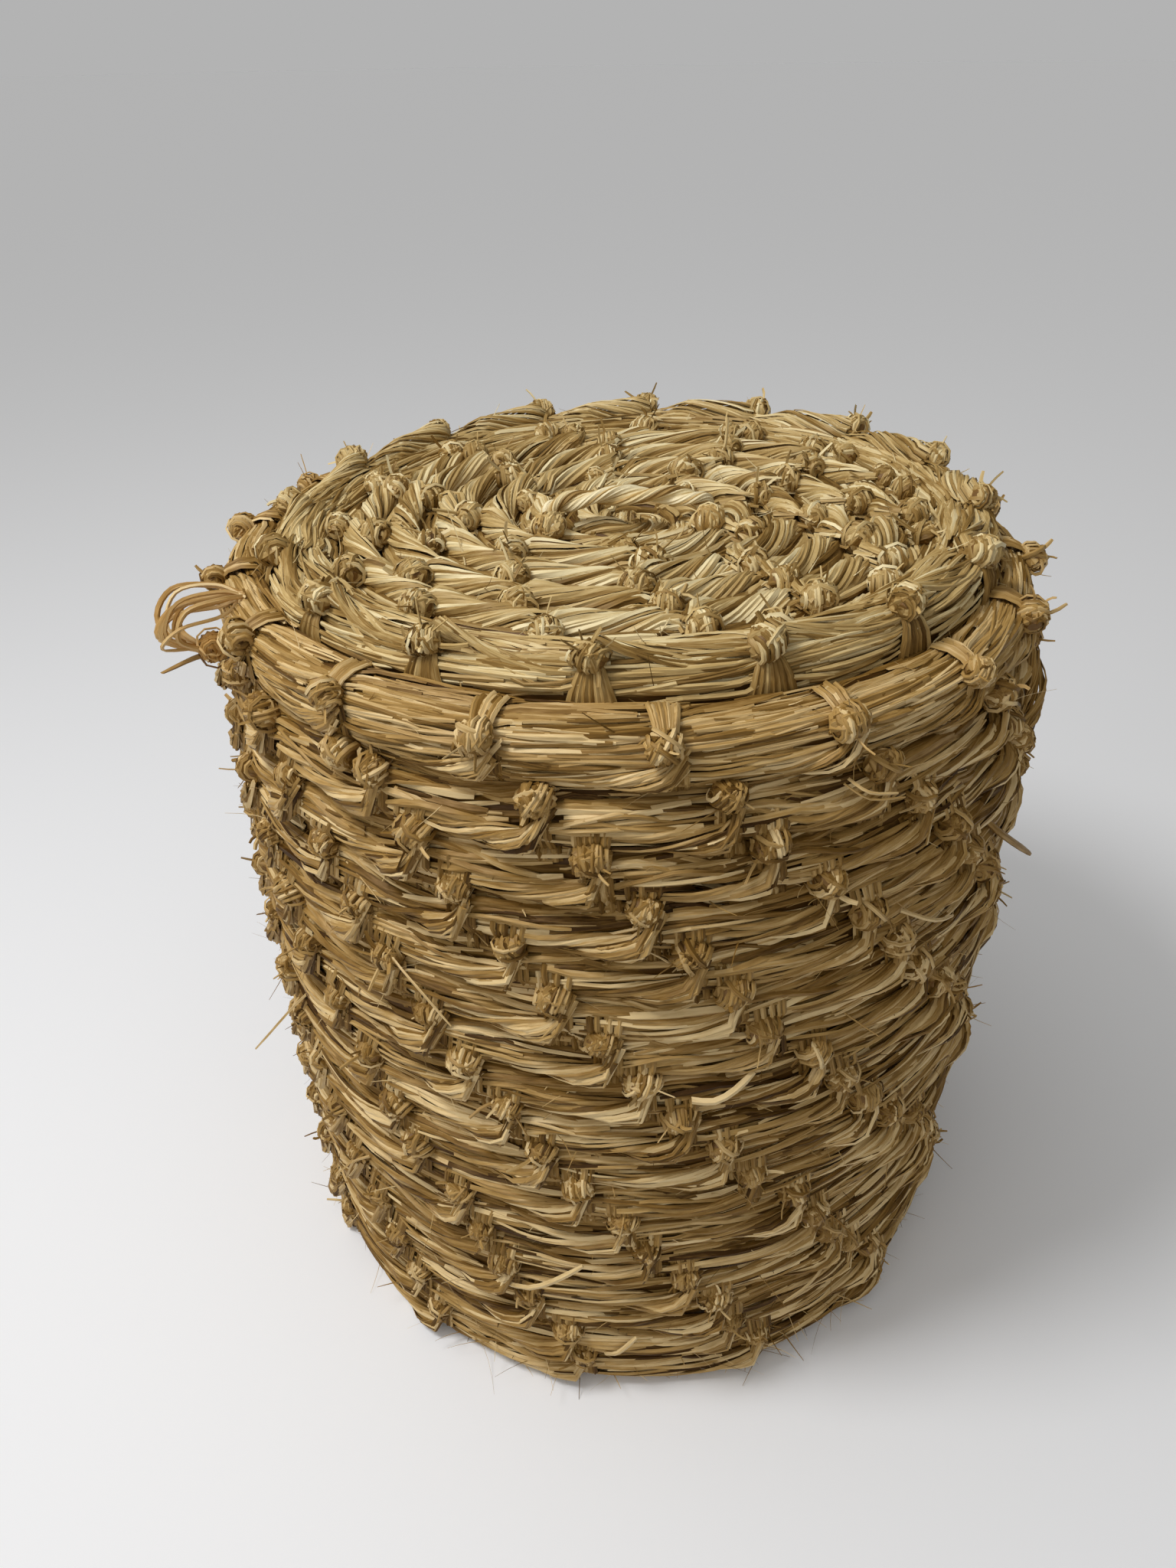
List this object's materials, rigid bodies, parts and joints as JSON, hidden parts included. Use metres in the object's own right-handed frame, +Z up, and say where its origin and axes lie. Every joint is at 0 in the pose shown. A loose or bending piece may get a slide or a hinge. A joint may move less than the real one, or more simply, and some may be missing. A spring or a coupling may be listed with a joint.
{
  "type": "coiled straw basket with lid",
  "caption": "Round lidded storage basket coiled from thick straw rope, its rows tied with knotted wisps; the lid lifts off by a small rope handle.",
  "frame": {"origin": "middle of the underside of the base, on the surface that the basket stands on", "axes": "+Z up along the basket's own axis, -Y towards the pictured front, +X to the front view's right"},
  "size_m": [0.4707, 0.4633, 0.5088],
  "materials": {
    "straw_wall": "dry straw, matte",
    "straw_base": "dry straw, matte",
    "straw_lid": "dry straw, matte",
    "straw_ties": "dry straw blades, faint gloss",
    "straw_handle": "twisted straw, faint gloss"
  },
  "bodies": {
    "basket": {"base_coil": "straw_base", "base_start_knot": "straw_base", "rim_coil": "straw_wall", "rim_ties": "straw_ties", "side_loop": "straw_ties", "side_loop_knot": "straw_ties", "wall_coil_1": "straw_wall", "wall_coil_2": "straw_wall", "wall_coil_3": "straw_wall", "wall_coil_4": "straw_wall", "wall_ties_row_01": "straw_ties", "wall_ties_row_02": "straw_ties", "wall_ties_row_03": "straw_ties", "wall_ties_row_04": "straw_ties", "wall_ties_row_05": "straw_ties", "wall_ties_row_06": "straw_ties", "wall_ties_row_07": "straw_ties", "wall_ties_row_08": "straw_ties", "wall_ties_row_09": "straw_ties", "wall_ties_row_10": "straw_ties", "wall_ties_row_11": "straw_ties", "wall_ties_row_12": "straw_ties", "wall_ties_row_13": "straw_ties", "wall_ties_row_14": "straw_ties", "wall_ties_row_15": "straw_ties", "wall_ties_row_16": "straw_ties"},
    "lid": {"lid_coil": "straw_lid", "lid_handle_knot_left": "straw_handle", "lid_handle_knot_right": "straw_handle", "lid_rim_coil": "straw_lid", "lid_rim_ties": "straw_ties", "lid_start_knot": "straw_lid", "lid_ties_ring_1": "straw_ties", "lid_ties_ring_2": "straw_ties", "lid_ties_ring_3": "straw_ties", "lid_ties_ring_4": "straw_ties"},
    "handle": {"lid_handle": "straw_handle"}
  },
  "joints": [
    {"name": "lid_lift", "type": "slide", "parent": "basket", "child": "lid", "axis": [0, 0, 1], "range_m": [0, 0.4]},
    {"name": "handle_tilt", "type": "hinge", "parent": "lid", "child": "handle", "pos_m": [0, -0.018, 0.48635], "axis": [1, 0, 0], "range_deg": [-25, 25], "stiffness_Nm_per_rad": 0.02}
  ]
}
